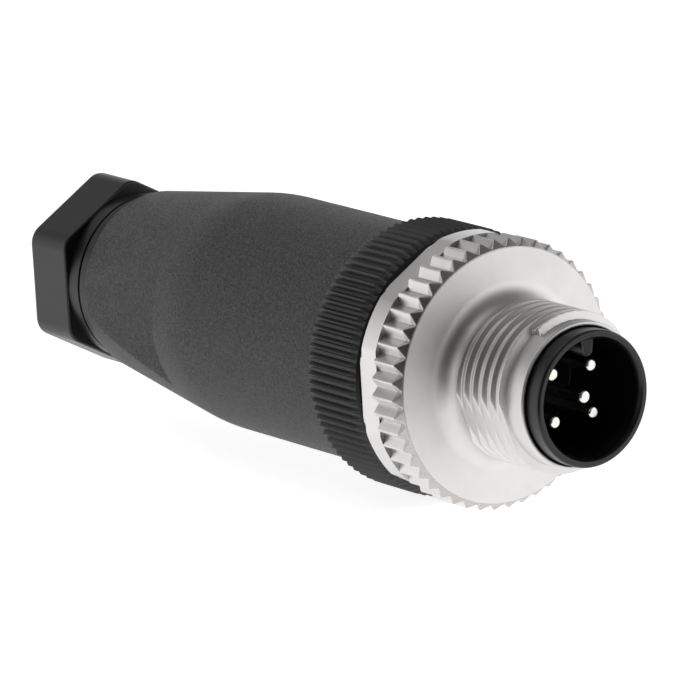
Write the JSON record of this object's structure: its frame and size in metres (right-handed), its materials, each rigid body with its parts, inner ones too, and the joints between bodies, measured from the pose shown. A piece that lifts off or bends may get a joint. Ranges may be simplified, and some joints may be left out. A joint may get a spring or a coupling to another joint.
{
  "type": "m12 connector",
  "caption": "Straight black M12 male cable plug with a nickel coupling ring, screw terminals, knurled collar, tapered grip housing and cable gland.",
  "frame": {"origin": "on the connector's axis at the front end of the M12 coupling thread", "axes": "+X along the axis towards the mating face, +Z from the axis through the coding key"},
  "size_m": [0.0605, 0.02, 0.02],
  "materials": {
    "carrier_plastic": "smooth black moulded thermoplastic",
    "contact_metal": "turned brass, plated bright silver",
    "screw_metal": "nickel-plated steel",
    "ring_metal": "satin nickel plating over a cast body",
    "collar_plastic": "black moulded plastic with a slight sheen",
    "seal_rubber": "smooth black rubber",
    "housing_plastic": "charcoal glass-filled plastic with a fine spark-eroded grain",
    "clamp_plastic": "plain moulded plastic",
    "gland_plastic": "charcoal moulded plastic, semi-gloss"
  },
  "bodies": {
    "insert": {"contact_carrier": "carrier_plastic", "collar": "collar_plastic", "pin_1": "contact_metal", "pin_2": "contact_metal", "pin_3": "contact_metal", "pin_4": "contact_metal", "pin_5": "contact_metal", "carrier_seal": "seal_rubber", "housing_seal": "seal_rubber"},
    "ring": {"coupling_ring": "ring_metal"},
    "grip": {"housing": "housing_plastic", "clamp_cage": "clamp_plastic", "cable_seal": "seal_rubber"},
    "gland_follower": {"pressure_ring": "gland_plastic"},
    "gland": {"gland_nut": "gland_plastic"},
    "screw_1": {"terminal_screw_1": "screw_metal"},
    "screw_2": {"terminal_screw_2": "screw_metal"},
    "screw_3": {"terminal_screw_3": "screw_metal"},
    "screw_4": {"terminal_screw_4": "screw_metal"},
    "screw_5": {"terminal_screw_5": "screw_metal"}
  },
  "joints": [
    {"name": "ring_spin", "type": "hinge", "parent": "insert", "child": "ring", "pos_m": [-0.006, 0, 0], "axis": [1, 0, 0], "continuous": true},
    {"name": "housing_slide", "type": "slide", "parent": "insert", "child": "grip", "axis": [-1, 0, 0], "range_m": [0, 0.036]},
    {"name": "gland_travel", "type": "slide", "parent": "grip", "child": "gland_follower", "axis": [-1, 0, 0], "range_m": [0, 0.003]},
    {"name": "gland_turn", "type": "hinge", "parent": "gland_follower", "child": "gland", "pos_m": [-0.055, 0, 0], "axis": [-1, 0, 0], "range_deg": [0, 1080]},
    {"name": "screw_1_turn", "type": "hinge", "parent": "insert", "child": "screw_1", "pos_m": [-0.02636, -0.00247, 0.00247], "axis": [0, -0.7071, 0.7071], "range_deg": [0, 1080]},
    {"name": "screw_2_turn", "type": "hinge", "parent": "insert", "child": "screw_2", "pos_m": [-0.02636, 0.00247, 0.00247], "axis": [0, 0.7071, 0.7071], "range_deg": [0, 1080]},
    {"name": "screw_3_turn", "type": "hinge", "parent": "insert", "child": "screw_3", "pos_m": [-0.02636, 0.00247, -0.00247], "axis": [0, 0.7071, -0.7071], "range_deg": [0, 1080]},
    {"name": "screw_4_turn", "type": "hinge", "parent": "insert", "child": "screw_4", "pos_m": [-0.02636, -0.00247, -0.00247], "axis": [0, -0.7071, -0.7071], "range_deg": [0, 1080]},
    {"name": "screw_5_turn", "type": "hinge", "parent": "insert", "child": "screw_5", "pos_m": [-0.03176, 0, 0.001], "axis": [0, 0, 1], "range_deg": [0, 1080]}
  ],
  "couplings": [
    {"joint": "gland_turn", "follows": "gland_travel", "rad_per_m": 6283.2}
  ]
}
